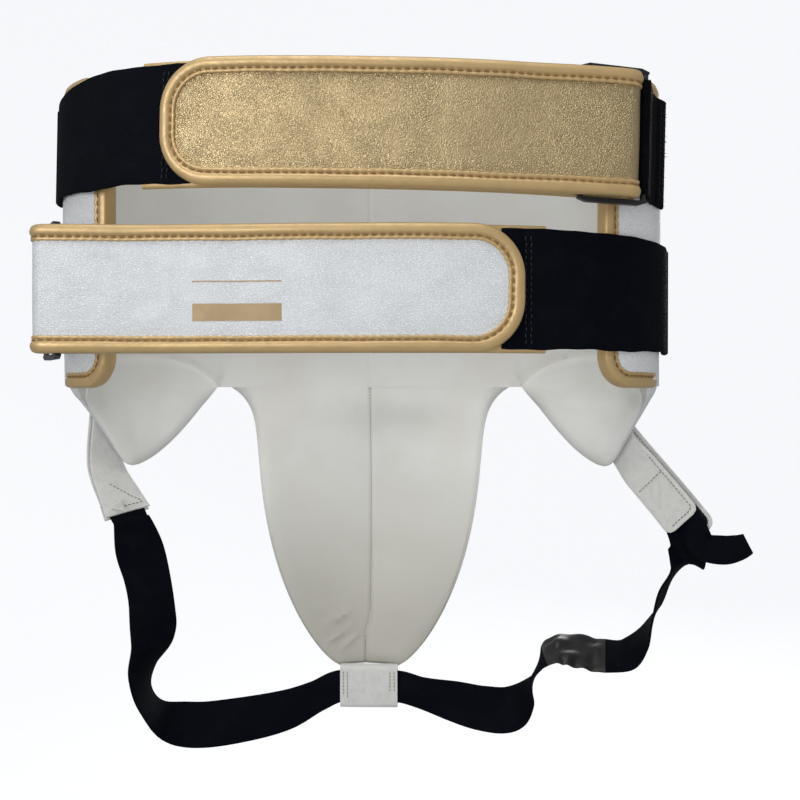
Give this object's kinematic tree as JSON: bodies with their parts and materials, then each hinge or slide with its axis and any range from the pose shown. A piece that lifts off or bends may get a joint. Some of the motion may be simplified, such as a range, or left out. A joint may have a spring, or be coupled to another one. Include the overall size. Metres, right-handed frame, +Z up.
{
  "type": "groin protector",
  "caption": "Padded waist belt with a hard groin cup, hip pads, elastic leg strap and two hook-and-loop straps that close behind the back.",
  "frame": {"origin": "centre of the waist opening at the belt's mid height", "axes": "+Z up as worn, +Y out of the wearer's front, +X to the wearer's right side as seen from behind"},
  "size_m": [0.4219, 0.2235, 0.417],
  "materials": {
    "white_leather": "satin",
    "lining_leather": "matte",
    "gold_leather": "satin",
    "gold_binding": "satin",
    "black_elastic": "matte",
    "black_webbing": "matte",
    "hook_and_loop": "matte",
    "black_plastic": "satin",
    "hard_shell": "matte",
    "foam": "matte"
  },
  "bodies": {
    "protector": {"belt_outer_shell": "white_leather", "belt_foam": "foam", "belt_lining": "lining_leather", "belt_binding": "gold_binding", "left_hip_cover": "white_leather", "left_hip_foam": "foam", "left_hip_lining": "lining_leather", "right_hip_cover": "white_leather", "right_hip_foam": "foam", "right_hip_lining": "lining_leather", "cup_cover": "white_leather", "cup_outer_foam": "foam", "hard_cup": "hard_shell", "cup_inner_foam": "foam", "cup_lining_left": "lining_leather", "cup_lining_right": "lining_leather", "cup_loop": "white_leather", "leg_strap": "black_elastic", "left_tab_inner_leaf": "white_leather", "left_tab_outer_leaf": "white_leather", "right_tab_inner_leaf": "white_leather", "right_tab_loop": "hook_and_loop", "upper_elastic": "black_elastic", "upper_strap": "gold_leather", "upper_strap_binding": "gold_binding", "upper_loop_patch": "hook_and_loop", "upper_ring_keeper": "black_webbing", "lower_elastic": "black_elastic", "lower_strap": "white_leather", "lower_strap_binding": "gold_binding", "lower_loop_patch": "hook_and_loop", "lower_ring_keeper": "black_webbing"},
    "upper_strap_tail": {"upper_tail": "gold_leather", "upper_tail_binding": "gold_binding", "upper_hook_patch": "hook_and_loop"},
    "lower_strap_tail": {"lower_tail": "white_leather", "lower_tail_binding": "gold_binding", "lower_hook_patch": "hook_and_loop"},
    "upper_strap_ring": {"upper_ring": "black_plastic"},
    "lower_strap_ring": {"lower_ring": "black_plastic"},
    "right_tab_flap": {"right_tab_outer_leaf": "white_leather", "right_tab_hook": "hook_and_loop"}
  },
  "joints": [
    {"name": "upper_tail_peel", "type": "hinge", "parent": "protector", "child": "upper_strap_tail", "pos_m": [0.14624, -0.08247, 0.04569], "axis": [0.0227, 0, 0.9997], "range_deg": [0, 150]},
    {"name": "lower_tail_peel", "type": "hinge", "parent": "protector", "child": "lower_strap_tail", "pos_m": [-0.1581, -0.09757, -0.036], "axis": [0, 0, -1], "range_deg": [0, 150]},
    {"name": "upper_ring_swivel", "type": "hinge", "parent": "protector", "child": "upper_strap_ring", "pos_m": [0.15537, -0.07101, 0.04549], "axis": [0.0227, 0, 0.9997], "range_deg": [-1.3, 1.3]},
    {"name": "lower_ring_swivel", "type": "hinge", "parent": "protector", "child": "lower_strap_ring", "pos_m": [-0.17081, -0.05925, -0.036], "axis": [0, 0, 1], "range_deg": [-3, 3]},
    {"name": "right_tab_open", "type": "hinge", "parent": "protector", "child": "right_tab_flap", "pos_m": [0.16598, 0.05789, -0.11806], "axis": [0.5812, -0.4352, 0.6877], "range_deg": [0, 80]}
  ]
}
